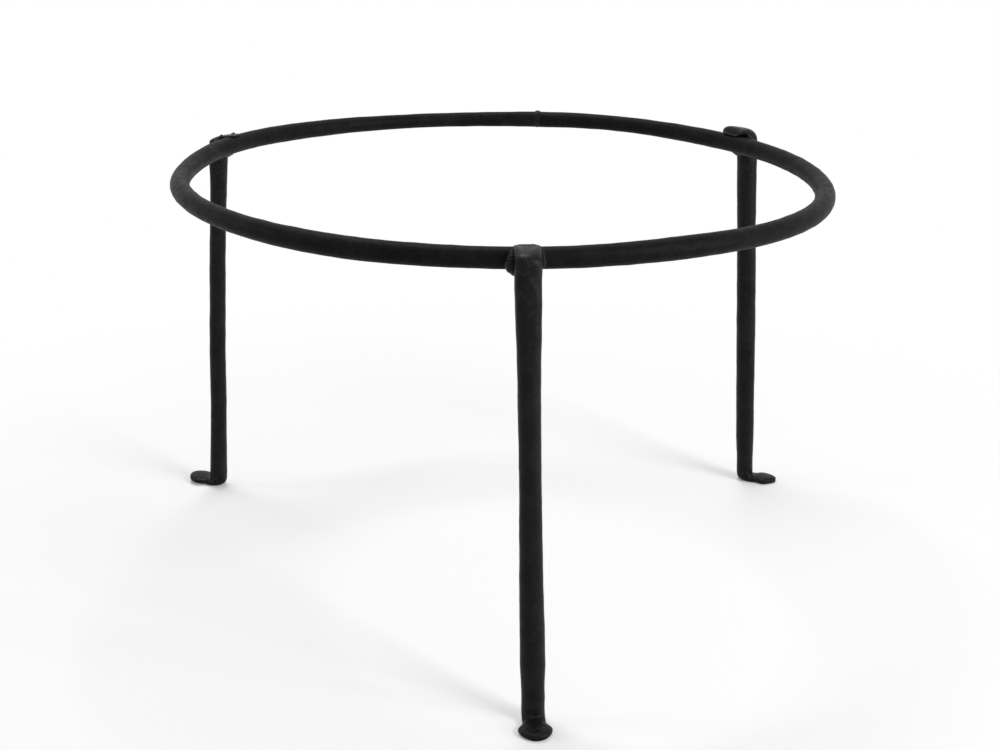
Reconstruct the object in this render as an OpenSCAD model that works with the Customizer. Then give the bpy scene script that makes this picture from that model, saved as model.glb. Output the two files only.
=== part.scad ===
// Three-legged wrought-iron ring that carries a plant pot.
// One round bar is bent into the ring. Each leg is a round bar whose head is hammered wide and
// hooked over the outside of the ring, and whose foot is bent outward and hammered into a lobe.
// The origin is on the ring's axis at floor level, +Z is up, and the front leg points along -Y.

/* [Ring] */
// Clear diameter inside the ring, where the pot sits
ring_inner_d = 260; // [180:5:360]
// Thickness of the round bar that the ring is bent from
ring_bar_d = 8; // [6:0.5:12]
// Height of the ring's upper side above the floor
ring_top_h = 177; // [120:1:280]
// Root gap between the bar's two ends, filled by the closing weld
ring_end_gap = 2.4; // [1.6:0.2:4]
// Direction of the closing weld, in degrees round from the right-hand side
ring_seam_angle = 78; // [60:1:120]
// Height that the closing weld stands proud of the bar
seam_crown = 0.35; // [0.1:0.05:0.8]

/* [Legs] */
// Thickness of the round bar that the legs are forged from
leg_bar_d = 8; // [6:0.5:12]
// Outward slope of each leg, in degrees from upright
leg_splay = 3.5; // [1:0.5:8]
// Sideways lean of the front leg below its weld, in degrees to the right as seen from outside the ring
front_lean = 1.6; // [-4:0.1:4]
// Sideways lean of the rear left leg, measured the same way
rear_left_lean = -1.3; // [-4:0.1:4]
// Sideways lean of the rear right leg, measured the same way
rear_right_lean = -1; // [-4:0.1:4]
// Direction of the rear left leg, in degrees round from the right-hand side
rear_left_angle = 151; // [140:0.5:160]
// Direction of the rear right leg, in degrees round from the right-hand side
rear_right_angle = 31; // [20:0.5:40]
// Clearance between a leg and the ring, before they are welded
seat_gap = 0.15; // [0.1:0.05:0.4]

/* [Hooked heads] */
// Width of the hammered head across the leg
head_w = 9.8; // [9:0.2:14]
// Length of leg below the ring's centre line over which the hammered width runs out
head_runout = 50; // [30:1:80]
// Angle that the head wraps over the ring, in degrees up from level on the outside
head_wrap = 112; // [100:1:120]
// Thickness left at the very end of the head
head_end_t = 0.8; // [0.6:0.1:1.8]
// Rise of the front leg's head above the ring's upper side
front_head_rise = 0.8; // [0.8:0.1:5]
// Rise of the rear left leg's head above the ring's upper side
rear_left_head_rise = 0.9; // [0.8:0.1:5]
// Rise of the rear right leg's head above the ring's upper side
rear_right_head_rise = 3.6; // [0.8:0.1:5]

/* [Feet] */
// Distance from a leg's centre line to the end of its toe
foot_reach = 15.5; // [14:0.5:24]
// Width of the hammered lobe
foot_w = 12.6; // [11:0.2:16]
// Thickness of the hammered lobe
foot_t = 3; // [2:0.1:4]
// Depth that the underside is dressed flat
foot_dressing = 0.4; // [0.2:0.1:0.8]
// Inside radius of the bend above the foot
foot_bend_r = 1.2; // [0.8:0.1:3]
// Widening of the bar where it is bent into the foot
heel_upset = 0.8; // [0:0.1:2]

/* [Welds] */
// Thickness of the bead laid round each hooked head, where it is fullest
bead_d = 4.6; // [3.6:0.2:6]
// Angle up the ring's outside at which the bead starts and ends, in degrees
bead_start = 54; // [40:1:80]
// Height of the bead's ripples
bead_ripple = 0.2; // [0.1:0.05:0.4]
// Clearance between a bead and the bars that it fuses
bead_gap = 0.05; // [0.03:0.01:0.1]

/* [Hidden] */
iron = [0.13, 0.14, 0.14];
weld_iron = [0.2, 0.21, 0.21];
$fn = 96;

front_angle = -90;

ring_r = ring_bar_d / 2;
ring_axis_r = ring_inner_d / 2 + ring_r;
ring_h = ring_top_h - ring_r;
seat_r = ring_r + seat_gap;
leg_r = leg_bar_d / 2;

// How squarely the hammered head and the heel turn their corners
head_corner = 2.4;
heel_corner = 3;
// How square the hammered sections are: 2 is an ellipse
bar_section = 2;
head_section = 2.4;
foot_section = 2.7;
leg_sides = 24;
bead_sides = 18;

// Steps along a leg: over the head, down the runout, round the heel, out to the lobe and round it
head_step = 5.5;
runout_steps = 6;
heel_steps = 12;
neck_steps = 3;
lobe_angles = [0, 12, 24, 36, 48, 60, 70, 78, 84];
// Steps along a bead, up each side of the head and under the ring on each side
bead_side_steps = 10;
bead_under_steps = 8;
// Steps over each half of the closing weld's crown
seam_steps = 6;
// Share of the head's wrap over which its end is drawn thin and round
head_tip_share = 0.3;
head_tip_round = 0.4;
// How fast the lobe's edge thins towards the toe
toe_thinning = 0.3;
// Shares of a bead's radius: its centre line's distance off the ring and off the head's side,
// and its radius at its ends
bead_ring_share = 0.45;
bead_head_share = 0.32;
bead_end_share = 0.45;

function smooth(t) = let (u = min(1, max(0, t))) u * u * (3 - 2 * u);
function mix(a, b, t) = a + (b - a) * t;
// The nearer of two surfaces, with the corner between them rounded
function nearer(a, b, sharpness) = pow(pow(a, -sharpness) + pow(b, -sharpness), -1 / sharpness);
function signed_pow(v, p) = sign(v) * pow(abs(v), p);

// A station of a leg is its centre in the plane through the ring's axis, measured out from the
// ring's centre line and up from the floor, the angle of its thickness, half its thickness,
// half its width, and how square its section is.
function leg_slope(z) = seat_centre() / cos(leg_splay) - (z - ring_h) * tan(leg_splay);
function seat_centre() = seat_r + leg_r;
// How far a leaning leg is off to the side at a height
function sideways(z, lean) = max(0, lean_top - z) * tan(lean);

// The head's outside is a superellipse round the ring's centre line. It leaves the bar's back
// without a step and passes over the ring at the head's rise.
function head_outside(a, rise) =
    let (
        along = abs(cos(a - leg_splay)) / (seat_r + leg_bar_d),
        over = abs(sin(a - leg_splay)) / (ring_r + rise)
    )
    pow(pow(along, head_corner) + pow(over, head_corner), -1 / head_corner);

function head_thickness(a, rise) =
    let (tip = smooth((a - head_wrap * (1 - head_tip_share)) / (head_wrap * head_tip_share)))
    mix(head_outside(a, rise) - seat_r, head_end_t, tip);

function head_station(a, rise) =
    let (
        t = head_thickness(a, rise),
        u = max(0, (a / head_wrap - 1 + head_tip_share) / head_tip_share),
        r = seat_r + t / 2
    )
    [r * cos(a), ring_h + r * sin(a), a, t / 2, head_w / 2 * (1 - head_tip_round * u * u), head_section];

function head_stations(rise) =
    let (count = round((head_wrap - leg_splay) / head_step))
    [for (i = [0:count]) head_station(mix(head_wrap, leg_splay, i / count), rise)];

function runout_station(t) =
    let (
        z = ring_h + seat_centre() * sin(leg_splay) - head_runout * t,
        width = mix(head_w, leg_bar_d, smooth(t))
    )
    [leg_slope(z), z, leg_splay, leg_r, width / 2, mix(head_section, bar_section, smooth(t))];

function runout_stations() = [for (i = [1:runout_steps]) runout_station(i / runout_steps)];

// The foot is bent about a point above its neck, and the heel lies between the bar's back and the floor
foot_full_t = foot_t + foot_dressing;
heel_r = (leg_bar_d + heel_upset) / 2;
bend_z = foot_bend_r + foot_t;
bend_out = let (start_z = bend_z - (foot_bend_r + leg_r) * sin(leg_splay))
    leg_slope(start_z) + (foot_bend_r + leg_r) * cos(leg_splay);

function heel_station(t) =
    let (
        a = mix(leg_splay, 90, t),
        back = (foot_bend_r + leg_bar_d) / cos(a - leg_splay),
        floor_side = (foot_bend_r + foot_full_t) / sin(a),
        outer = nearer(back, floor_side, heel_corner),
        r = (foot_bend_r + outer) / 2
    )
    [bend_out - r * cos(a), bend_z - r * sin(a), a, (outer - foot_bend_r) / 2, heel_r,
        mix(bar_section, foot_section, smooth(t))];

lobe_r = foot_w / 2;
toe_out = leg_slope(0) + foot_reach;
lobe_out = toe_out - lobe_r;
lobe_z = foot_t - foot_full_t / 2;

function neck_station(t) =
    [mix(bend_out, lobe_out, t), lobe_z, 90, foot_full_t / 2, mix(heel_r, lobe_r, smooth(t)),
        foot_section];

function lobe_station(a) =
    [lobe_out + lobe_r * sin(a), lobe_z, 90, foot_full_t / 2 * pow(cos(a), toe_thinning),
        lobe_r * cos(a), foot_section];

function leg_stations(rise) = concat(
    head_stations(rise),
    runout_stations(),
    [for (i = [0:heel_steps]) heel_station(i / heel_steps)],
    [for (i = [1:neck_steps - 1]) neck_station(i / neck_steps)],
    [for (a = lobe_angles) lobe_station(a)]
);

// The points round one station of a leg that leans sideways
function section(s, lean) =
    [for (i = [0:leg_sides - 1])
        let (
            a = 360 * i / leg_sides,
            p = 2 / s[5],
            out = s[3] * signed_pow(cos(a), p),
            side = s[4] * signed_pow(sin(a), p)
        )
        [ring_axis_r + s[0] + out * cos(s[2]), side + sideways(s[1], lean), s[1] + out * sin(s[2])]];

function mean(points, i = 0) =
    i == len(points) - 1 ? points[i] / len(points) : points[i] / len(points) + mean(points, i + 1);

// A closed skin over rows with the same number of points, each end closed on its middle
module skin(rows) {
    n = len(rows[0]);
    last = len(rows) - 1;
    start_middle = n * len(rows);
    end_middle = start_middle + 1;
    points = concat([for (row = rows) each row], [mean(rows[0]), mean(rows[last])]);
    faces = concat(
        [for (i = [0:last - 1], j = [0:n - 1])
            let (a = i * n + j, b = i * n + (j + 1) % n)
            each [[a, b, b + n], [a, b + n, a + n]]],
        [for (j = [0:n - 1]) [start_middle, (j + 1) % n, j]],
        [for (j = [0:n - 1]) [end_middle, last * n + j, last * n + (j + 1) % n]]
    );
    polyhedron(points, faces, convexity = 6);
}

module forged_leg(rise, lean) {
    color(iron) difference() {
        skin([for (s = leg_stations(rise)) section(s, lean)]);
        translate([ring_axis_r, sideways(0, lean) - foot_w, -foot_t])
        cube([toe_out + foot_w, 2 * foot_w, foot_t]);
    }
}

// The bead's centre line lies in the crotch between the ring and the head: down one side of the
// head, under the ring and up the other side. A point is its place across the leg, out from the
// ring's centre line and up from it.
bead_r = bead_d / 2;
bead_half_span = head_w / 2 + bead_r * bead_head_share;
bead_orbit = ring_r + bead_r * bead_ring_share;
bead_under_out = seat_r - bead_r * bead_head_share;
bead_depth = sqrt(bead_orbit * bead_orbit - bead_under_out * bead_under_out);
// A leg leans only below its bead, so that its head sits square on the ring
lean_top = ring_h - bead_depth - bead_r;

function bead_side(t) =
    let (a = bead_start * (1 - t)) [bead_half_span, bead_orbit * cos(a), bead_orbit * sin(a)];
function bead_under(t) =
    let (z = bead_depth * sin(90 * t))
    [bead_half_span * cos(90 * t), sqrt(bead_orbit * bead_orbit - z * z), -z];
bead_half = concat(
    [for (i = [0:bead_side_steps]) bead_side(i / bead_side_steps)],
    [for (i = [1:bead_under_steps]) bead_under(i / bead_under_steps)]
);
bead_line = concat(
    bead_half,
    [for (i = [len(bead_half) - 2:-1:0]) [-bead_half[i][0], bead_half[i][1], bead_half[i][2]]]
);

// Is a point clear of the ring's bar and of the leg, each grown by the bead's clearance?
function clear_of_ring(p) =
    let (from_axis = norm([ring_axis_r + p[1], p[0]]))
    norm([from_axis - ring_axis_r, p[2]]) > ring_r + bead_gap;

// Where a point lies within the leg's section there: 1 on its surface, more outside
function leg_share(u, half_t, x, half_w, square) =
    pow(abs(u) / (half_t + bead_gap), square) + pow(abs(x) / (half_w + bead_gap), square);

function head_share(p, rise) =
    let (
        a = atan2(p[2], p[1]),
        s = head_station(max(a, leg_splay), rise),
        half_t = s[3],
        from_ring = a > leg_splay ? norm([p[1], p[2]]) : p[1] * cos(leg_splay) + p[2] * sin(leg_splay),
        down = a > leg_splay ? 0 : p[1] * sin(leg_splay) - p[2] * cos(leg_splay),
        run = smooth(down / head_runout)
    )
    leg_share(from_ring - seat_r - half_t, half_t, p[0],
        mix(s[4], leg_r, run), mix(head_section, bar_section, run));

function clear_of_bars(p, rise) = clear_of_ring(p) && head_share(p, rise) > 1;

// How far a ray runs from the bead's centre line before it meets a bar, halving the interval each time
function reach(p, ray, near, far, rise, tries = 12) =
    tries == 0 ? near
    : let (middle = (near + far) / 2)
        clear_of_bars(p + middle * ray, rise)
            ? reach(p, ray, middle, far, rise, tries - 1)
            : reach(p, ray, near, middle, rise, tries - 1);

function unit(v) = v / norm(v);
function bead_row(i, rise) =
    let (
        last = len(bead_line) - 1,
        p = bead_line[i],
        along = unit(bead_line[min(last, i + 1)] - bead_line[max(0, i - 1)]),
        out = [0, p[1], p[2]],
        up = unit(out - (out * along) * along),
        across = cross(along, up),
        fullness = mix(bead_end_share, 1, smooth(min(i, last - i) / bead_side_steps)),
        r = bead_r * fullness + bead_ripple / 2 * (i % 2 == 0 ? 1 : -1)
    )
    [for (j = [0:bead_sides - 1])
        let (
            a = 360 * j / bead_sides,
            ray = cos(a) * up + sin(a) * across,
            end = p + r * ray,
            q = clear_of_bars(end, rise) ? end : p + reach(p, ray, 0, r, rise) * ray
        )
        [ring_axis_r + q[1], q[0], ring_h + q[2]]];

module leg_bead(rise) {
    color(weld_iron) skin([for (i = [0:len(bead_line) - 1]) bead_row(i, rise)]);
}

seam_half_angle = asin(ring_end_gap / 2 / ring_axis_r);

module pot_ring() {
    color(iron)
    translate([0, 0, ring_h])
    rotate([0, 0, ring_seam_angle + seam_half_angle])
    rotate_extrude(angle = 360 - 2 * seam_half_angle)
    translate([ring_axis_r, 0])
    circle(ring_r);
}

// A short barrel along the bar, crowned by a circular arc and cut to the wedge between the bar's ends
module ring_closing_weld() {
    half = (ring_axis_r + ring_bar_d) * tan(seam_half_angle);
    arc_r = (half * half + seam_crown * seam_crown) / (2 * seam_crown);
    arc_half = asin(half / arc_r);
    arc_x = ring_r + seam_crown - arc_r;
    color(weld_iron)
    rotate([0, 0, ring_seam_angle])
    translate([0, 0, ring_h])
    intersection() {
        translate([ring_axis_r, 0, 0]) rotate([90, 0, 0]) rotate_extrude()
        polygon(concat(
            [[0, -half]],
            [for (i = [-seam_steps:seam_steps])
                let (a = arc_half * i / seam_steps) [arc_x + arc_r * cos(a), arc_r * sin(a)]],
            [[0, half]]
        ));
        rotate([0, 0, -seam_half_angle]) rotate_extrude(angle = 2 * seam_half_angle)
        translate([ring_axis_r, 0]) square(ring_bar_d * 2, center = true);
    }
}

module front_leg() { rotate([0, 0, front_angle]) forged_leg(front_head_rise, front_lean); }
module rear_left_leg() {
    rotate([0, 0, rear_left_angle]) forged_leg(rear_left_head_rise, rear_left_lean);
}
module rear_right_leg() {
    rotate([0, 0, rear_right_angle]) forged_leg(rear_right_head_rise, rear_right_lean);
}

module front_leg_weld() { rotate([0, 0, front_angle]) leg_bead(front_head_rise); }
module rear_left_leg_weld() { rotate([0, 0, rear_left_angle]) leg_bead(rear_left_head_rise); }
module rear_right_leg_weld() { rotate([0, 0, rear_right_angle]) leg_bead(rear_right_head_rise); }

pot_ring();
ring_closing_weld();
front_leg();
rear_left_leg();
rear_right_leg();
front_leg_weld();
rear_left_leg_weld();
rear_right_leg_weld();
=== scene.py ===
import math

import bpy
import numpy as np
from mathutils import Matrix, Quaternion, Vector


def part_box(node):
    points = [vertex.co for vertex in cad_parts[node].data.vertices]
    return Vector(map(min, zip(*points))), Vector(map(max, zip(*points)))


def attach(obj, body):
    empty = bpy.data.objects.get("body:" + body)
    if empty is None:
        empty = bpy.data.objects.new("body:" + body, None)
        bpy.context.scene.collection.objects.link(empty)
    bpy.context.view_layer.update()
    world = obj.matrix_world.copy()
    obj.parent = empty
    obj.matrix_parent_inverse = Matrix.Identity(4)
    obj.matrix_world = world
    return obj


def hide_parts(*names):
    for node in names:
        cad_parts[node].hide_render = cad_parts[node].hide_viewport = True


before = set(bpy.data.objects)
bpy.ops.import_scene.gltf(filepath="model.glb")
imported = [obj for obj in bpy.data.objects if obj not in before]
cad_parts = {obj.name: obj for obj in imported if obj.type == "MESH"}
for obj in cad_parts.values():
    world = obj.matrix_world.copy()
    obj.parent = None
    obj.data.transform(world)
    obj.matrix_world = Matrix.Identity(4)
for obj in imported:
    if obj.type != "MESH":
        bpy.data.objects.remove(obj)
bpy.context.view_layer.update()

# The visual model of a three-legged wrought-iron pot ring. Sizes are in millimetres until a mesh is made.
# Each piece is a skin over rows of points. A leg and its weld are made at +X and then turned to their place.
MM = 0.001


def nearest_half(metres):
    """Millimetres, to the nearest half because facets make a solid's box a little too small."""
    return round(2 * metres / MM) / 2


# The ring and the place of its closing weld, measured on their solids
ring_low, ring_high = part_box("pot_ring")
RING_R = nearest_half((ring_high.z - ring_low.z) / 2)
RING_AXIS_R = nearest_half((ring_high.x - ring_low.x) / 2) - RING_R
RING_H = nearest_half((ring_high.z + ring_low.z) / 2)
seam_low, seam_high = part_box("ring_closing_weld")
seam_middle = (seam_low + seam_high) / 2
SEAM_ANGLE = math.radians(round(math.degrees(math.atan2(seam_middle.y, seam_middle.x))))

# The legs' bar, and the seat of their heads round the ring's centre line
LEG_BAR_D = 8.0
LEG_R = LEG_BAR_D / 2
SPLAY = math.radians(3.5)
SEAT_GAP = 0.15
SEAT_R = RING_R + SEAT_GAP
SEAT_CENTRE = SEAT_R + LEG_R
BAR_SECTION, HEAD_SECTION, FOOT_SECTION = 2.0, 2.4, 2.7     # how square a section is: 2 is an ellipse

# A hooked head, and the length below the ring over which its hammered width runs out
HEAD_WRAP = math.radians(112)
HEAD_RUNOUT = 50.0
HEAD_TIP_SHARE = 0.3        # share of the wrap over which the head is drawn thin
HEAD_TIP_ROUND = 0.4        # how much narrower its end is
TIP_EDGE = 0.12             # angle at which the rounding of the thin edge starts
TIP_LEAST = 0.1             # least share of its thickness that the edge keeps

# A foot
FOOT_REACH = 15.5
FOOT_T = 3.0
FOOT_DRESSING = 0.4
FOOT_FULL_T = FOOT_T + FOOT_DRESSING
FOOT_BEND_R = 1.2
LOBE_R = 6.3
LOBE_END = math.radians(88.8)
HEEL_UPSET = 0.8
HEEL_R = (LEG_BAR_D + HEEL_UPSET) / 2
HEEL_CORNER = 3.0
TOE_THINNING = 0.3
TOE_POINT = 0.13            # how much pointed each millimetre of drawing out makes a toe
TWIST_L = 30                # length of bar above a heel over which it is twisted
LIFT_FROM, LIFT_RUN = 1.0, 4.0      # where a lifted toe starts to rise, out from the bar's centre line

# A weld bead's path is counted in steps, up each side of a head and under the ring
BEAD_R = 2.3
BEAD_START = math.radians(54)
BEAD_SIDE, BEAD_UNDER = 10, 8
BEAD_LAST = 2 * (BEAD_SIDE + BEAD_UNDER)
BEAD_RING_SHARE, BEAD_HEAD_SHARE = 0.45, 0.32
BEAD_END_SHARE = 0.45
BEAD_SINK = 0.2             # how far a bead runs into the bars that it fuses

# Directions, leans, turns and lifts are in degrees. Width is that of the head across the leg, rise how far
# it stands above the ring's bar, shoulder how square it is, tip how thick it ends, and spread how much wider
# it is beaten on its right. A toe is turned to one side, lifted off the floor and drawn out to a point.
# Girth and bow give heights, and there the share of the bar's size and how far it is bent outwards. Slim
# gives places along the weld, 0 at its right end and 1 at its left, and how much slimmer it is there.
PLAIN = dict(spread=0, toe_turn=0, toe_lift=0, draw=0, bow=((0, 0),), slim=((0, 0),))
FRONT = dict(
    PLAIN, side="front", at=-90, lean=1.6, width=9.8, rise=0.5, shoulder=2.4, tip=0.6,
    girth=((10, 1.11), (38, 1.09), (48, 1.07), (70, 1.02), (90, 1.0), (108, 1.02), (122, 1.07), (140, 1.03)),
    slim=((0, 0.45), (0.4, 0.4), (0.5, 0.1), (0.6, -0.12), (0.68, -0.12), (0.8, 0.15), (1, 0.3)))
REAR_LEFT = dict(
    PLAIN, side="rear_left", at=151, lean=-1.3, width=8.1, rise=0.4, shoulder=1.5, tip=0.6, toe_lift=5,
    girth=((10, 0.98), (34, 0.94), (120, 0.95), (150, 0.92)),
    bow=((45, 0), (72, 0.7), (122, 0.7), (155, 0)),
    slim=((0, 0), (0.8, 0), (1, 0.3)))
REAR_RIGHT = dict(
    PLAIN, side="rear_right", at=31, lean=-1.0, width=10.0, rise=3.4, shoulder=2.4, tip=0.8,
    spread=3.2, toe_turn=-46, draw=2.4,
    girth=((12, 1.12), (26, 1.06), (40, 1.06), (76, 1.13), (120, 1.13), (155, 1.03)))
LEGS = (FRONT, REAR_LEFT, REAR_RIGHT)

# How the hand-bent ring departs from a true one: by how much, where in degrees, and how far to each side.
# A swell is a share of the bar's size. The bar is thinner across the back, and fuller at the front and right.
RING_SWELLS = (
    (-0.05, 91, 52), (-0.11, 104, 32), (-0.06, 61, 20),
    (0.05, -30, 45), (0.07, -66, 20), (0.05, -124, 28),
)
RING_WIDE = ((2.6, -22, 50),)
RING_RISES = ((-1.2, -22, 48), (-1.3, 108, 42), (0.5, 60, 25), (-1.1, 176, 24), (0.4, -66, 22))

# Rows and sides of the skins
RING_ROWS, RING_SIDES = 1400, 48
TIP_ROWS, HEAD_ROWS, RUNOUT_ROWS, SHAFT_ROWS = 6, 70, 72, 172
HEEL_ROWS, NECK_ROWS, LOBE_ROWS = 44, 12, 34
LEG_SIDES = 64
BEAD_ROWS, BEAD_SIDES = 190, 40
SEAM_ROWS, SEAM_SIDES = 23, 96
DROP_ROWS, DROP_SIDES = 7, 12

TINY = 1e-6                 # keeps a division or a comparison clear of 0


# Curves that the forms share
def smooth(t):
    u = np.clip(t, 0, 1)
    return u * u * (3 - 2 * u)


def mix(a, b, t):
    return a + (b - a) * t


def fade(s, start, run):
    """0 up to start, 1 from run further on, and smooth between."""
    return smooth((s - start) / run)


def signed_pow(v, p):
    return np.sign(v) * np.abs(v) ** p


def unit(v):
    return v / np.linalg.norm(v, axis=1)[:, None]


def around_bar(sides):
    return np.linspace(0, 2 * math.pi, sides, endpoint=False)


def rotated(x, y, a):
    return x * np.cos(a) - y * np.sin(a), x * np.sin(a) + y * np.cos(a)


def turned(points, degrees):
    """Points turned about the ring's axis."""
    x, y, z = np.moveaxis(points, -1, 0)
    return np.stack([*rotated(x, y, math.radians(degrees)), z], axis=-1)


# Stations of a leg, in the plane through the ring's axis
def stations(out, z, angle, half_t, half_w, square):
    """Rows of a section's place out from the ring's centre line and up, angle, half sizes and squareness."""
    return np.stack(np.broadcast_arrays(out, z, angle, half_t, half_w, square), axis=1).astype(float)


def leg_slope(z):
    """How far out a leg's centre line is at a height."""
    return SEAT_CENTRE / math.cos(SPLAY) - (z - RING_H) * math.tan(SPLAY)


def head_thickness(a, leg):
    """The head's outside is a superellipse round the ring's centre line, and its end is drawn thin."""
    along = np.abs(np.cos(a - SPLAY)) / (SEAT_R + LEG_BAR_D)
    over = np.abs(np.sin(a - SPLAY)) / (RING_R + leg["rise"])
    outside = (along ** leg["shoulder"] + over ** leg["shoulder"]) ** (-1 / leg["shoulder"])
    tip = fade(a, HEAD_WRAP * (1 - HEAD_TIP_SHARE), HEAD_WRAP * HEAD_TIP_SHARE)
    return mix(outside - SEAT_R, leg["tip"], tip)


def head(a, leg):
    t = head_thickness(a, leg)
    u = np.clip((a / HEAD_WRAP - 1 + HEAD_TIP_SHARE) / HEAD_TIP_SHARE, 0, 1)
    r = SEAT_R + t / 2
    half_w = leg["width"] / 2 * (1 - HEAD_TIP_ROUND * u * u)
    return stations(r * np.cos(a), RING_H + r * np.sin(a), a, t / 2, half_w, HEAD_SECTION)


def head_tip(leg):
    """Stations that round off the head's thin end."""
    end_half_t, end_half_w = head(np.array([HEAD_WRAP]), leg)[0, 3:5]
    r = SEAT_R + end_half_t
    edge = np.linspace(math.pi / 2, TIP_EDGE, TIP_ROWS, endpoint=False)
    a = HEAD_WRAP + end_half_t / r * np.sin(edge)
    fall = np.maximum(np.cos(edge), TIP_LEAST)
    return stations(r * np.cos(a), RING_H + r * np.sin(a), a, end_half_t * fall,
                    end_half_w - end_half_t * (1 - fall), HEAD_SECTION)


def runout(t, leg):
    z = RING_H + SEAT_CENTRE * math.sin(SPLAY) - HEAD_RUNOUT * t
    half_w = mix(leg["width"], LEG_BAR_D, smooth(t)) / 2
    return stations(leg_slope(z), z, SPLAY, LEG_R, half_w, mix(HEAD_SECTION, BAR_SECTION, smooth(t)))


# The heel is bent about a point above the foot
BEND_Z = FOOT_BEND_R + FOOT_T
BEND_OUT = (leg_slope(BEND_Z - (FOOT_BEND_R + LEG_R) * math.sin(SPLAY))
            + (FOOT_BEND_R + LEG_R) * math.cos(SPLAY))
LOBE_OUT = leg_slope(0) + FOOT_REACH - LOBE_R
LOBE_Z = FOOT_T - FOOT_FULL_T / 2


def heel(t):
    """The heel fills the corner between the bar's back and the floor."""
    a = mix(SPLAY, math.pi / 2, t)
    back = (FOOT_BEND_R + LEG_BAR_D) / np.maximum(np.cos(a - SPLAY), TINY)
    floor_side = (FOOT_BEND_R + FOOT_FULL_T) / np.sin(a)
    outer = (back ** -HEEL_CORNER + floor_side ** -HEEL_CORNER) ** (-1 / HEEL_CORNER)
    r = (FOOT_BEND_R + outer) / 2
    return stations(BEND_OUT - r * np.cos(a), BEND_Z - r * np.sin(a), a, (outer - FOOT_BEND_R) / 2,
                    HEEL_R, mix(BAR_SECTION, FOOT_SECTION, smooth(t)))


def foot_width(out):
    """Half the width of a foot, which widens from the heel to the lobe."""
    return mix(HEEL_R, LOBE_R, fade(out, BEND_OUT, LOBE_OUT - BEND_OUT))


def neck(t, leg):
    out = mix(BEND_OUT, LOBE_OUT - leg["draw"], t)
    return stations(out, LOBE_Z, math.pi / 2, FOOT_FULL_T / 2, foot_width(out), FOOT_SECTION)


def lobe(a, leg):
    out = LOBE_OUT - leg["draw"] + (LOBE_R + leg["draw"]) * np.sin(a)
    half_t = FOOT_FULL_T / 2 * np.cos(a) ** TOE_THINNING
    half_w = foot_width(out) * np.cos(a) ** (1 + TOE_POINT * leg["draw"])
    return stations(out, LOBE_Z, math.pi / 2, half_t, half_w, FOOT_SECTION)


def leg_stations(leg):
    """The stations above the heel, and those of the heel and the foot."""
    top = head(np.linspace(HEAD_WRAP, SPLAY, HEAD_ROWS), leg)
    out = runout(np.linspace(0, 1, RUNOUT_ROWS)[1:], leg)
    bend = heel(np.linspace(0, 1, HEEL_ROWS))
    shaft = np.stack([mix(out[-1], bend[0], t) for t in np.linspace(0, 1, SHAFT_ROWS)[1:-1]])
    toe = lobe(LOBE_END * np.sin(np.linspace(0, math.pi / 2, LOBE_ROWS)[1:]), leg)
    return (np.concatenate([head_tip(leg), top, out, shaft]),
            np.concatenate([bend, neck(np.linspace(0, 1, NECK_ROWS)[1:], leg), toe]))


# Hammered surfaces. The ranges are shares of the spacing, and of the depth in the last case
MARK_JITTER = 0.4
MARK_HALF_LENGTH, MARK_HALF_WIDTH, MARK_DEPTH = (0.8, 1.25), (0.65, 0.95), (0.55, 1)
RIDGE_FALL = 0.4            # difference in depth between two marks at which their ridge ends
MARK_FLOOR = 0.02           # depth below which a place counts as outside all marks
WAVE_COUNTS = range(2, 9)


def hammer_marks(girth, length, size, seed, closed):
    """Seeded marks on a staggered grid: places along and round the bar, half length, half width, depth."""
    rng = np.random.default_rng(seed)
    n_s, n_phi = round(length / size), round(girth / size)
    marks = []
    for i in range(n_s):
        for j in range(n_phi):
            along = (i + 0.5 + rng.uniform(-MARK_JITTER, MARK_JITTER)) * length / n_s
            around = 2 * math.pi * (j + (i % 2) / 2 + rng.uniform(-MARK_JITTER, MARK_JITTER)) / n_phi
            half_length = size * rng.uniform(*MARK_HALF_LENGTH)
            half_width = size * rng.uniform(*MARK_HALF_WIDTH)
            marks.append((along, around, half_length, half_width, rng.uniform(*MARK_DEPTH)))
    if closed:
        # marks near the ends of a closed bar show at its other end too
        marks += [(mark[0] + shift,) + mark[1:] for mark in marks for shift in (-length, length)
                  if -2 * size < mark[0] + shift < length + 2 * size]
    return marks


def dents(s, phi, girth, size, depth, length, seed, closed=False):
    """Shallow hammer marks on a bar, for rows at s along it with points at phi round it.

    Returns how far each point is lifted, and how close it is to a ridge between marks.
    """
    first = np.zeros((len(s), len(phi)))
    second = np.zeros_like(first)
    for along, around, half_length, half_width, share in hammer_marks(girth, length, size, seed, closed):
        lo, hi = np.searchsorted(s, (along - half_length, along + half_length))
        turn = (phi - around + math.pi) % (2 * math.pi) - math.pi
        off_along = (s[lo:hi, None] - along) / half_length
        off_around = turn * girth / (2 * math.pi) / half_width
        mark = share * np.maximum(1 - (off_along ** 2 + off_around ** 2), 0)
        a, b = first[lo:hi], second[lo:hi]
        second[lo:hi] = np.maximum(b, np.minimum(a, mark))
        first[lo:hi] = np.maximum(a, mark)
    ridge = 1 - smooth((first - second) / RIDGE_FALL)
    return -depth * (first - first.mean()), ridge * (first > MARK_FLOOR)


def waves(s, length, size, seed, closed=False):
    """Slow seeded unevenness along a bar."""
    rng = np.random.default_rng(seed)
    total = np.zeros_like(s)
    for k in WAVE_COUNTS:
        turns = k if closed else k * 0.5
        total += rng.normal() / k * np.sin(2 * math.pi * turns * s / length + rng.uniform(0, 2 * math.pi))
    return size * total


# Meshes
SHARP = 42                  # degrees between faces from which an edge is drawn sharp
WELD_SHARP = 60


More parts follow.
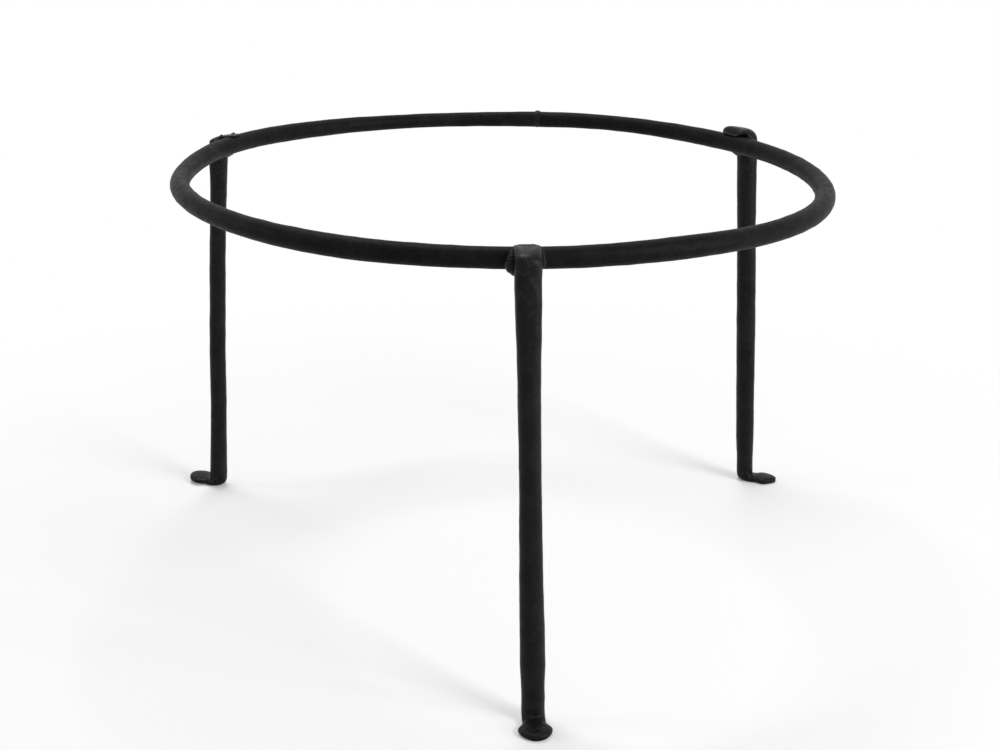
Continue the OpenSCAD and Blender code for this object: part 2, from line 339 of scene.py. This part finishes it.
def skin_faces(n, m, base, closed):
    """Faces over n rows of m points, numbered from base. Two more points close the ends of an open skin."""
    i = np.arange(n if closed else n - 1)[:, None]
    j = np.arange(m)
    right = (j + 1) % m
    this_row, next_row = base + i * m, base + (i + 1) % n * m
    corners = [this_row + j, this_row + right, next_row + right, next_row + j]
    faces = np.stack(corners, axis=-1).reshape(-1, 4).tolist()
    if not closed:
        middle = base + n * m
        last_row = middle - m
        faces += np.stack([np.full(m, middle), base + right, base + j], axis=-1).tolist()
        faces += np.stack([np.full(m, middle + 1), last_row + j, last_row + right], axis=-1).tolist()
    return faces


def build(name, skins, material, node, sharp=SHARP):
    """One piece that stands for a CAD node. Each skin is rows of points, closeness to a ridge, and closed."""
    points, faces, ridges, base = [], [], [], 0
    for rows, ridge, closed in skins:
        n, m = rows.shape[:2]
        faces += skin_faces(n, m, base, closed)
        points.append(rows.reshape(-1, 3))
        ridges.append(ridge.reshape(-1))
        base += n * m
        if not closed:
            points.append(np.array([rows[0].mean(0), rows[-1].mean(0)]))
            ridges.append(np.zeros(2))
            base += 2
    mesh = bpy.data.meshes.new(name)
    mesh.from_pydata((np.concatenate(points) * MM).tolist(), [], faces)
    mesh.update()
    mesh.polygons.foreach_set("use_smooth", np.ones(len(mesh.polygons), bool))
    mesh.set_sharp_from_angle(angle=math.radians(sharp))
    attribute = mesh.attributes.new("ridge", "FLOAT", "POINT")
    attribute.data.foreach_set("value", np.concatenate(ridges).astype(np.float32))
    mesh.materials.append(material)
    piece = bpy.data.objects.new(name, mesh)
    bpy.context.scene.collection.objects.link(piece)
    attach(piece, "root")
    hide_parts(node)


# A leg's surface. A fade has where it starts, from the head's end or the toe's end, and its length
LIGHT_MARKS, HEAVY_MARKS = (7.0, 0.20), (5.0, 0.34)         # spacing and depth
LIGHT_RIDGE = 0.3           # share to which a light mark's ridge is rubbed
HEAVY_HEAD, HEAVY_FOOT = (12, 26), (16, 14)
TRUE_SEAT = (16, 10)
SEAT_SIDE, SOLE_SIDE = (0.4, 1.4), (0.9, -1.2)              # middle and slope of the change round the bar
FREE_HEAD, FREE_FOOT = (18, 40), (24, 40)
GIRTH_HEAD, GIRTH_FOOT = (18, 20), (24, 14)
WANDER, UNEVEN = 0.17, 0.014        # how far the bar strays, and the share by which its size changes
SPREAD_HEAD = (0.8, 0.5)            # radians round the ring's bar at which a head's spread starts, and runs


def off_side(phi, middle, slope):
    """0 on a bar's true side, 1 on its marked side."""
    return smooth(middle + slope * np.cos(phi))


def leg_marks(s, phi, angle, seed):
    """A leg's hammer marks: light along the bar, heavy on its head and foot."""
    length = s[-1]
    girth = 2 * math.pi * LEG_R
    light, light_ridge = dents(s, phi, girth, *LIGHT_MARKS, length, seed)
    heavy, heavy_ridge = dents(s, phi, girth, *HEAVY_MARKS, length, seed + 1)
    in_head = 1 - fade(s, *HEAVY_HEAD)
    in_foot = 1 - fade(length - s, *HEAVY_FOOT)
    forged = np.maximum(in_head, in_foot)[:, None]
    # the seat against the ring and the sole stay true
    seat = np.where(angle > SPLAY + TINY, off_side(phi, *SEAT_SIDE), 1)
    seat = mix(1, seat, (1 - fade(s, *TRUE_SEAT))[:, None])
    sole = mix(1, off_side(phi, *SOLE_SIDE), in_foot[:, None])
    return mix(light, heavy, forged) * seat * sole, mix(light_ridge * LIGHT_RIDGE, heavy_ridge, forged)


def at_heights(pairs, z):
    heights, values = np.array(pairs).T
    return np.interp(z, heights, values)


def off_ends(s, from_head, from_toe):
    """0 at a leg's ends and 1 between."""
    return (fade(s, *from_head) * fade(s[-1] - s, *from_toe))[:, None]


def held_from(values, first):
    """The values, with the one of row first kept in all rows after it."""
    return np.concatenate([values[:first], np.full_like(values[first:], values[first, 0])])


def leg_rows(leg, seed):
    above, foot = leg_stations(leg)
    first = len(above)
    all_stations = np.concatenate([above, foot])
    out, z, angle, half_t, half_w, square = (column[:, None] for column in all_stations.T)
    steps = np.hypot(np.diff(all_stations[:, 0]), np.diff(all_stations[:, 1]))
    s = np.concatenate([[0], np.cumsum(steps)])
    length = s[-1]
    phi = around_bar(LEG_SIDES)
    cos, sin = signed_pow(np.cos(phi), 2 / square), signed_pow(np.sin(phi), 2 / square)
    lift, ridge = leg_marks(s, phi, angle, seed)

    # the centre line strays and is bowed between head and foot, and leans below the bead
    free = off_ends(s, FREE_HEAD, FREE_FOOT)
    bow = waves(s, length, WANDER, seed + 2)[:, None] + at_heights(leg["bow"], z)
    sway = waves(s, length, WANDER, seed + 3)[:, None]
    middle_x = RING_AXIS_R + out + bow * free
    middle_y = sway * free + np.maximum(LEAN_TOP - z, 0) * math.tan(math.radians(leg["lean"]))

    # the section: where the bar swells one way, it is narrower the other way
    swell = 1 + waves(s, length, UNEVEN, seed + 4)[:, None] * free
    girth = mix(1, at_heights(leg["girth"], z), off_ends(s, GIRTH_HEAD, GIRTH_FOOT))
    spread = leg["spread"] / 2 * np.where(z > RING_H, fade(angle, *SPREAD_HEAD), 0)
    across_t = (half_t * swell * girth + lift) * cos
    across_w = ((half_w + spread) * (2 - swell) * girth + lift) * sin + spread

    # the bar is twisted above the heel, so that the toe points to one side
    pivot_x, pivot_y = held_from(middle_x, first), held_from(middle_y, first)
    turn = math.radians(leg["toe_turn"]) * fade(s, s[first] - TWIST_L, TWIST_L)[:, None]
    along = middle_x + across_t * np.cos(angle) - pivot_x
    aside = middle_y + across_w - pivot_y
    x, y = rotated(along, aside, turn)

    # the underside is flat on the floor, unless the toe is lifted
    in_foot = np.arange(len(s))[:, None] >= first
    past = np.maximum(along - LIFT_FROM, 0) * fade(along, LIFT_FROM, LIFT_RUN) * in_foot
    up = np.maximum(z + across_t * np.sin(angle), 0) + math.tan(math.radians(leg["toe_lift"])) * past
    return np.stack([pivot_x + x, pivot_y + y, up], axis=-1), ridge


# The ring's surface
RING_MARKS = (7.4, 0.19)    # spacing and depth
RING_RIDGE = 0.3
RING_UNEVEN, RING_WANDER, RING_WAVE = 0.012, 0.22, 0.18     # of the bar's size, sideways and upwards
RING_TRUE = 5               # length on either side of a leg over which the bar is true
MARKS_FADE, DRIFT_FADE = 10, 50


def bump(degrees, at, half_width):
    """1 at one place round the ring, falling smoothly to 0 on either side."""
    off = np.abs((degrees - at + 180) % 360 - 180)
    return smooth(1 - off / half_width)


def bumps(degrees, table):
    return sum(size * bump(degrees, at, half_width) for size, at, half_width in table)


def ring_rows(seed):
    theta = around_bar(RING_ROWS)
    phi = around_bar(RING_SIDES)
    degrees = np.degrees(theta)[:, None]
    s = theta * RING_AXIS_R
    length = 2 * math.pi * RING_AXIS_R
    lift, ridge = dents(s, phi, 2 * math.pi * RING_R, *RING_MARKS, length, seed, closed=True)

    # the bar is true where the legs hook over it
    legs_at = np.radians([leg["at"] for leg in LEGS])
    off = np.abs((theta[:, None] - legs_at + math.pi) % (2 * math.pi) - math.pi).min(axis=1) * RING_AXIS_R
    free = fade(off, RING_TRUE, MARKS_FADE)[:, None]
    drift = free * fade(off, RING_TRUE, DRIFT_FADE)[:, None]

    def wave(size, number):
        return waves(s, length, size, seed + number, closed=True)[:, None]

    uneven = wave(RING_UNEVEN, 1) + bumps(degrees, RING_SWELLS)
    radial = wave(RING_WANDER, 2) * drift + bumps(degrees, RING_WIDE)
    rise = wave(RING_WAVE, 3) * drift + bumps(degrees, RING_RISES)
    r = RING_R * (1 + uneven * drift) + lift * free
    from_axis = RING_AXIS_R + radial + r * np.cos(phi)
    z = RING_H + rise + r * np.sin(phi)
    rows = np.stack([from_axis * np.cos(theta)[:, None], from_axis * np.sin(theta)[:, None], z], axis=-1)
    return rows, ridge * free * RING_RIDGE


# The closing weld: a low crown round the bar, with crescent ripples
SEAM_HALF_L = 1.45
SEAM_CROWN = 0.35
SEAM_SINK = 0.25            # how far its edges run into the bar
SEAM_RIPPLES, SEAM_RIPPLE, SEAM_CRESCENT = 24, 0.055, 1.6
SEAM_STRAYS, SEAM_STRAY = 12, 0.10      # places round it where its edges stray, and by what share


def seam_rows(seed):
    strays = np.random.default_rng(seed).normal(size=SEAM_STRAYS)
    places = np.linspace(0, 2 * math.pi, SEAM_STRAYS + 1)
    phi = around_bar(SEAM_SIDES)
    edge = 1 + SEAM_STRAY * np.interp(phi, places, np.append(strays, strays[0]))
    across = np.linspace(-1, 1, SEAM_ROWS)[:, None]
    inside = 1 - across ** 2
    crown = mix(-SEAM_SINK, SEAM_CROWN, np.sqrt(np.maximum(inside, 0)))
    ripple = SEAM_RIPPLE * np.cos(SEAM_RIPPLES * phi + SEAM_CRESCENT * across ** 2) * inside
    r = RING_R * (1 + bumps(math.degrees(SEAM_ANGLE), RING_SWELLS)) + crown + ripple
    theta = SEAM_ANGLE + across * SEAM_HALF_L * edge / RING_AXIS_R
    from_axis = RING_AXIS_R + r * np.cos(phi)
    return np.stack([from_axis * np.cos(theta), from_axis * np.sin(theta), RING_H + r * np.sin(phi)], axis=-1)


# The weld beads lie in the crotch between the ring and a head
def bead_depth(r):
    """How far below the ring's centre line a bead of radius r passes, and its distance from that line."""
    orbit = RING_R + r * BEAD_RING_SHARE
    return np.sqrt(orbit ** 2 - (SEAT_R - r * BEAD_HEAD_SHARE) ** 2), orbit


# A leg leans only below its bead
LEAN_TOP = RING_H - bead_depth(BEAD_R)[0] - BEAD_R
BEAD_OVER, OVER_STEP = 0.9, 0.5     # steps by which a rounded end passes the path, and the length of a step
BEAD_LEAST = 0.02           # least square of the share of its radius that a rounded end keeps
DIRECTION_STEP = 0.02       # steps to each side over which the path's direction is measured
SLIM_REACH = 6              # rows to each side over which a change of slimness is evened out
UNEVEN_PLACES, BEAD_UNEVEN = 16, 0.03
RIPPLE, RIPPLE_EDGE, RIPPLE_LAG = 0.11, 0.7, 0.55   # height, bluntness of its crests, and its crescent
RIPPLE_FULL = 1.2           # a bead thinner than 1 part in this has lower ripples
CREST, CREST_RUB = 0.8, 0.6         # where a ripple's crest starts, and how much it is rubbed
HALVINGS = 14


def bead_path(u, slim, leg):
    """Points of a bead's centre line: across the leg, out from the ring's centre line and up from it."""
    r = BEAD_R * (1 - slim)
    depth, orbit = bead_depth(r)
    half_span = leg["width"] / 2 + r * BEAD_HEAD_SHARE
    half = np.minimum(u, BEAD_LAST - u)
    a = BEAD_START * (1 - half / BEAD_SIDE)
    t = np.clip((half - BEAD_SIDE) / BEAD_UNDER, 0, 1) * math.pi / 2
    down = depth * np.sin(t)
    under = half > BEAD_SIDE
    across = np.where(under, half_span * np.cos(t), half_span)
    out = np.where(under, np.sqrt(orbit ** 2 - down ** 2), orbit * np.cos(a))
    up = np.where(under, -down, orbit * np.sin(a))
    return np.stack([np.where(u > BEAD_LAST / 2, -across, across), out, up], axis=-1)


def bead_slimness(inner, leg):
    """How much slimmer a bead is at each row, with its changes evened out."""
    places, shares = np.array(leg["slim"]).T
    slim = np.pad(np.interp(inner / BEAD_LAST, places, shares), SLIM_REACH, mode="edge")
    window = 2 * SLIM_REACH + 1
    return np.convolve(slim, np.ones(window) / window, mode="valid")


def bead_frames(u, inner, slim, leg):
    """The centre line's point at each row, and two directions across it, the first away from the ring."""
    ahead, behind = (bead_path(np.clip(inner + step, 0, BEAD_LAST), slim, leg)
                     for step in (DIRECTION_STEP, -DIRECTION_STEP))
    along = unit(ahead - behind)
    p = bead_path(inner, slim, leg) + along * (u - inner)[:, None] * OVER_STEP
    away = p * [0, 1, 1]
    away = unit(away - np.sum(away * along, axis=1)[:, None] * along)
    return p, away, np.cross(along, away)


def clear_of_bars(p, leg):
    """Is a point outside the ring's bar and the leg, each made smaller by the bead's sink?"""
    x, y, z = np.moveaxis(p, -1, 0)
    off_ring = np.hypot(np.hypot(RING_AXIS_R + y, x) - RING_AXIS_R, z) > RING_R - BEAD_SINK
    a = np.arctan2(z, y)
    in_head = a > SPLAY
    head_stations = head(np.maximum(a, SPLAY).ravel(), leg)
    half_t, half_w = (head_stations[:, column].reshape(a.shape) for column in (3, 4))
    from_ring = np.where(in_head, np.hypot(y, z), y * math.cos(SPLAY) + z * math.sin(SPLAY))
    down = np.where(in_head, 0, y * math.sin(SPLAY) - z * math.cos(SPLAY))
    run = smooth(down / HEAD_RUNOUT)
    square = mix(HEAD_SECTION, BAR_SECTION, run)
    share_t = np.abs(from_ring - SEAT_R - half_t) / (half_t - BEAD_SINK)
    share_w = np.abs(x) / (mix(half_w, LEG_R, run) - BEAD_SINK)
    return off_ring & (share_t ** square + share_w ** square > 1)


def cut_back(p, r, ray, leg):
    """The ends of rays of length r from p. One that ends in a bar is cut back to it by halving."""
    whole = clear_of_bars(p + r[..., None] * ray, leg)
    near, far = np.zeros_like(r), r
    for _ in range(HALVINGS):
        middle = (near + far) / 2
        clear = clear_of_bars(p + middle[..., None] * ray, leg)
        near, far = np.where(clear, middle, near), np.where(clear, far, middle)
    return p + np.where(whole, r, near)[..., None] * ray


def bead_rows(leg, seed):
    rng = np.random.default_rng(seed)
    u = np.linspace(-BEAD_OVER, BEAD_LAST + BEAD_OVER, BEAD_ROWS)
    inner = np.clip(u, 0, BEAD_LAST)
    slim = bead_slimness(inner, leg)
    p, away, across = bead_frames(u, inner, slim, leg)
    phi = around_bar(BEAD_SIDES)
    ray = np.cos(phi)[None, :, None] * away[:, None] + np.sin(phi)[None, :, None] * across[:, None]

    # the radius is smaller towards both ends, which are rounded, and the ripples are crescents
    full = mix(BEAD_END_SHARE, 1, fade(np.minimum(inner, BEAD_LAST - inner), 0, BEAD_SIDE))
    full = full * (1 - slim) * np.sqrt(np.maximum(1 - ((u - inner) / BEAD_OVER) ** 2, BEAD_LEAST))
    knots = np.linspace(-1, BEAD_LAST + 1, UNEVEN_PLACES)
    full = full * (1 + BEAD_UNEVEN * np.interp(u, knots, rng.normal(size=UNEVEN_PLACES)))
    full = full[:, None]
    wave = np.cos(math.pi * (u[:, None] + RIPPLE_LAG * (1 - np.cos(phi))))
    r = BEAD_R * full + RIPPLE * signed_pow(wave, RIPPLE_EDGE) * np.minimum(1, full * RIPPLE_FULL)

    q = cut_back(p[:, None], r, ray, leg)
    rows = np.stack([RING_AXIS_R + q[..., 1], q[..., 0], RING_H + q[..., 2]], axis=-1)
    return rows, (wave > CREST) * CREST_RUB


# Small drops of weld metal on the ring's bar beside a leg, each a flattened ball
DROPS = 3
DROP_OFF, DROP_SIZE = (10.5, 20), (0.22, 0.42)      # distance from the leg, and radius
DROP_ANGLE = (-1.0, 0.7)    # radians up the bar's outside
DROP_FLAT = 0.6


def ball_rows():
    up = np.linspace(-math.pi / 2, math.pi / 2, DROP_ROWS + 2)[1:-1]
    around = around_bar(DROP_SIDES)
    return np.stack([np.outer(np.cos(up), np.cos(around)), np.outer(np.cos(up), np.sin(around)),
                     np.outer(np.sin(up), np.ones(DROP_SIDES))], axis=-1)


def spatter(seed):
    rng = np.random.default_rng(seed)
    ball = ball_rows()
    tangent = np.array([0.0, 1, 0])
    drops = []
    for _ in range(DROPS):
        off = rng.choice([-1, 1]) * rng.uniform(*DROP_OFF)
        phi = rng.uniform(*DROP_ANGLE)
        size = rng.uniform(*DROP_SIZE)
        normal = np.array([math.cos(phi), 0, math.sin(phi)])
        basis = np.stack([tangent, np.cross(normal, tangent), normal])
        flat_ball = ball * [size, size, size * DROP_FLAT]
        drop = flat_ball @ basis + normal * RING_R + [RING_AXIS_R, 0, 0]
        drop = turned(drop, math.degrees(off / RING_AXIS_R)) + [0, 0, RING_H]
        drops.append((drop, np.zeros(ball.shape[:2]), False))
    return drops


# Materials
BLACK, WHITE = (0, 0, 0), (1, 1, 1)
MIX_FIRST, MIX_SECOND, MIX_RESULT = 6, 7, 2         # sockets of a mix node that hold its colours


def node_kit(owner):
    """Empties the node tree of a material or world. Returns what links two sockets and what adds a node."""
    owner.use_nodes = True
    tree = owner.node_tree
    tree.nodes.clear()

    def new(kind, **values):
        """A node. Each value is for the input of that name or, where there is none, the setting."""
        made = tree.nodes.new(kind)
        for key, value in values.items():
            if key in made.inputs:
                made.inputs[key].default_value = value
            else:
                setattr(made, key, value)
        return made

    return tree.links.new, new


def ramp(link, new, source, *stops):
    """Turns a value into a colour, between two stops that are each a place and a colour."""
    made = new("ShaderNodeValToRGB")
    for element, (at, colour) in zip(made.color_ramp.elements, stops):
        element.position = at
        element.color = (*colour, 1)
    link(source, made.inputs["Fac"])
    return made.outputs["Color"]


def remap(link, new, source, source_range, result_range=(0.0, 1.0), curve="LINEAR"):
    made = new("ShaderNodeMapRange", interpolation_type=curve)
    for key, value in zip(("From Min", "From Max", "To Min", "To Max"), (*source_range, *result_range)):
        made.inputs[key].default_value = value
    link(source, made.inputs["Value"])
    return made.outputs["Result"]


# The textures' scales, where in them a change of colour, gloss or depth lies, and the height of the relief
# that each gives: its strength as a share of the grain, and metres
CLOUD = dict(Scale=95.0, Detail=5.0, Roughness=0.6)
SPECK = dict(Scale=620.0, Detail=3.0, Roughness=0.55)
SCALE = dict(Scale=1500.0, Detail=3.0, Roughness=0.6)
PITS = dict(Scale=420.0)
MOTTLE_FROM, MOTTLE_TO = 0.32, 0.70
RUBBED_FROM, RUBBED_TO = 0.42, 0.66
GLOSS_RANGE, PIT_RANGE = (0.3, 0.7), (0.0, 0.28)
SPECK_RELIEF, SCALE_RELIEF, PIT_RELIEF = (1, 0.00022), (0.8, 0.0001), (0.35, 0.00012)
BURNISH = 0.12              # how much smoother the iron is on its rubbed ridges


def painted_iron(name, dark, light, worn, grain, roughness, ior):
    """Black paint over forged iron: mottled, rubbed on its ridges, with the grain of the scale under it."""
    material = bpy.data.materials.new(name)
    link, new = node_kit(material)
    place = new("ShaderNodeTexCoord").outputs["Object"]
    cloud = new("ShaderNodeTexNoise", **CLOUD)
    speck = new("ShaderNodeTexNoise", **SPECK)
    scale = new("ShaderNodeTexNoise", **SCALE)
    pits = new("ShaderNodeTexVoronoi", **PITS)
    for texture in (cloud, speck, scale, pits):
        link(place, texture.inputs["Vector"])
    ridge = new("ShaderNodeAttribute", attribute_name="ridge").outputs["Fac"]
    shader = new("ShaderNodeBsdfPrincipled", IOR=ior)

    # the colour: mottled black, paler in patches where the ridges are rubbed
    rubbed = new("ShaderNodeMath", operation="MULTIPLY")
    patches = ramp(link, new, speck.outputs["Fac"], (RUBBED_FROM, BLACK), (RUBBED_TO, WHITE))
    link(ridge, rubbed.inputs[0])
    link(patches, rubbed.inputs[1])
    colour = new("ShaderNodeMix", data_type="RGBA")
    mottled = ramp(link, new, cloud.outputs["Fac"], (MOTTLE_FROM, dark), (MOTTLE_TO, light))
    link(rubbed.outputs[0], colour.inputs["Factor"])
    link(mottled, colour.inputs[MIX_FIRST])
    colour.inputs[MIX_SECOND].default_value = (*worn, 1)
    link(colour.outputs[MIX_RESULT], shader.inputs["Base Color"])

    # the gloss: uneven, and a little higher on the ridges
    burnish = new("ShaderNodeMath", operation="MULTIPLY_ADD")
    link(ridge, burnish.inputs[0])
    burnish.inputs[1].default_value = -BURNISH
    link(remap(link, new, speck.outputs["Fac"], GLOSS_RANGE, roughness), burnish.inputs[2])
    link(burnish.outputs[0], shader.inputs["Roughness"])

    # the relief, each layer over the one before
    layers = (
        (speck.outputs["Fac"], SPECK_RELIEF),
        (scale.outputs["Fac"], SCALE_RELIEF),
        (remap(link, new, pits.outputs["Distance"], PIT_RANGE), PIT_RELIEF),
    )
    surface = None
    for height, (share, distance) in layers:
        relief = new("ShaderNodeBump", Strength=grain * share, Distance=distance)
        link(height, relief.inputs["Height"])
        if surface is not None:
            link(surface, relief.inputs["Normal"])
        surface = relief.outputs["Normal"]
    link(surface, shader.inputs["Normal"])
    link(shader.outputs["BSDF"], new("ShaderNodeOutputMaterial").inputs["Surface"])
    return material


# Dark, light and worn colours. The low index of refraction keeps the white studio from greying the black.
IRON = dict(dark=(0.0040, 0.0045, 0.0044), light=(0.0096, 0.0104, 0.0101), worn=(0.024, 0.025, 0.0245),
            grain=0.5)
WELD = dict(dark=(0.0050, 0.0055, 0.0054), light=(0.0112, 0.0121, 0.0118), worn=(0.028, 0.029, 0.0285),
            grain=0.45)
ring_iron = painted_iron("black_ring_iron", **IRON, roughness=(0.42, 0.58), ior=1.13)
leg_iron = painted_iron("black_iron", **IRON, roughness=(0.34, 0.50), ior=1.18)
weld_iron = painted_iron("black_weld", **WELD, roughness=(0.32, 0.46), ior=1.18)

# The pieces
RING_SEED, SEAM_SEED, LEG_SEED, BEAD_SEED, DROP_SEED = 11, 31, 100, 200, 300
SEEDS_A_LEG = 10

rows, ridge = ring_rows(RING_SEED)
build("forged_ring", [(rows, ridge, True)], ring_iron, "pot_ring")
rows = seam_rows(SEAM_SEED)
build("seam_weld", [(rows, np.zeros(rows.shape[:2]), False)], weld_iron, "ring_closing_weld")
for number, leg in enumerate(LEGS):
    side, at = leg["side"], leg["at"]
    rows, ridge = leg_rows(leg, LEG_SEED + SEEDS_A_LEG * number)
    build(f"{side}_forged_leg", [(turned(rows, at), ridge, False)], leg_iron, f"{side}_leg")
    rows, ridge = bead_rows(leg, BEAD_SEED + number)
    skins = [(rows, ridge, False)] + spatter(DROP_SEED + number)
    skins = [(turned(points, at), marks, closed) for points, marks, closed in skins]
    build(f"{side}_weld_bead", skins, weld_iron, f"{side}_leg_weld", WELD_SHARP)

# The studio, in metres
FLOOR_R, FLOOR_SIDES = 9, 96
FLOOR_COLOUR = (0.90, 0.90, 0.90, 1)
FLOOR_LIFT = 0.18           # how much the floor is lifted to white for the camera and in reflections
FLOOR_FADE = (0.15, 0.42)   # distances from the middle between which it turns into the backdrop
SKY_RANGE = (0.24, 1.0)     # the world's strength as a light, and as it is seen
PURE_WHITE = (1, 1, 1, 1)


def seen_directly(link, new):
    """1 for a ray from the camera, and for one that a gloss or glass sends on."""
    ray = new("ShaderNodeLightPath")
    either = new("ShaderNodeMath", operation="MAXIMUM")
    any_of = new("ShaderNodeMath", operation="MAXIMUM")
    link(ray.outputs["Is Glossy Ray"], either.inputs[0])
    link(ray.outputs["Is Transmission Ray"], either.inputs[1])
    link(ray.outputs["Is Camera Ray"], any_of.inputs[0])
    link(either.outputs[0], any_of.inputs[1])
    return any_of.outputs[0]


def pale_floor():
    """A floor that keeps the object's shadow and, when seen, turns into a white backdrop further out."""
    material = bpy.data.materials.new("pale_floor")
    link, new = node_kit(material)
    shown = seen_directly(link, new)

    # the near floor: lit, and lifted a little towards white
    lift = new("ShaderNodeMath", operation="MULTIPLY")
    lift.inputs[1].default_value = FLOOR_LIFT
    link(shown, lift.inputs[0])
    glow = new("ShaderNodeEmission", Color=PURE_WHITE)
    link(lift.outputs[0], glow.inputs["Strength"])
    near = new("ShaderNodeAddShader")
    link(new("ShaderNodeBsdfDiffuse", Color=FLOOR_COLOUR).outputs[0], near.inputs[0])
    link(glow.outputs[0], near.inputs[1])

    # the backdrop
    away = new("ShaderNodeVectorMath", operation="LENGTH")
    link(new("ShaderNodeTexCoord").outputs["Object"], away.inputs[0])
    amount = new("ShaderNodeMath", operation="MULTIPLY")
    link(remap(link, new, away.outputs["Value"], FLOOR_FADE, curve="SMOOTHSTEP"), amount.inputs[0])
    link(shown, amount.inputs[1])
    blend = new("ShaderNodeMixShader")
    link(amount.outputs[0], blend.inputs["Fac"])
    link(near.outputs[0], blend.inputs[1])
    link(new("ShaderNodeEmission", Color=PURE_WHITE).outputs[0], blend.inputs[2])
    link(blend.outputs[0], new("ShaderNodeOutputMaterial").inputs["Surface"])
    return material


def studio_world():
    """Soft light from all round, and plain white to the camera and in reflections."""
    world = bpy.data.worlds.new("studio")
    link, new = node_kit(world)
    sky = new("ShaderNodeBackground", Color=PURE_WHITE)
    link(remap(link, new, seen_directly(link, new), (0.0, 1.0), SKY_RANGE), sky.inputs["Strength"])
    link(sky.outputs[0], new("ShaderNodeOutputWorld").inputs["Surface"])
    return world


bpy.ops.mesh.primitive_circle_add(vertices=FLOOR_SIDES, radius=FLOOR_R, fill_type="NGON", location=(0, 0, 0))
floor = bpy.context.object
floor.name = "floor"
floor.data.materials.append(pale_floor())
bpy.context.scene.world = studio_world()

LAMP_AIM = Vector((0, 0, 0.1))
# Each lamp's name, place, size and power in watts
LAMPS = (
    ("key", (1.25, -1.20, 1.15), (0.6, 0.6), 14.5),
    ("top", (-0.20, 0.55, 1.70), (0.9, 0.5), 13.5),
    ("right", (1.45, -0.75, 0.30), (0.3, 0.6), 8.5),
    ("left", (-1.45, 0.10, 0.55), (0.4, 0.6), 2.6),
)


def aimed(name, data, at, aim, roll=0.0):
    """A lamp or camera at a place, pointed at another and rolled about its own axis."""
    made = bpy.data.objects.new(name, data)
    bpy.context.scene.collection.objects.link(made)
    made.location = at
    made.rotation_mode = "QUATERNION"
    made.rotation_quaternion = (aim - Vector(at)).to_track_quat("-Z", "Y") @ Quaternion((0, 0, 1), roll)
    return made


for name, at, size, power in LAMPS:
    light = bpy.data.lights.new(name, "AREA")
    light.shape = "RECTANGLE"
    light.size, light.size_y = size
    light.energy = power
    aimed(name, light, at, LAMP_AIM)

# The camera, fitted to the photograph
CAMERA_AT = (-0.0510, -0.6988, 0.3260)
CAMERA_AIM = Vector((0.0015, 0.0, 0.0832))
CAMERA_ROLL = math.radians(0.983)
lens = bpy.data.cameras.new("camera")
lens.sensor_width = 36
lens.lens = 60.36
lens.clip_start, lens.clip_end = 0.01, 50
bpy.context.scene.camera = aimed("camera", lens, CAMERA_AT, CAMERA_AIM, CAMERA_ROLL)
bpy.context.scene.view_settings.view_transform = "Standard"
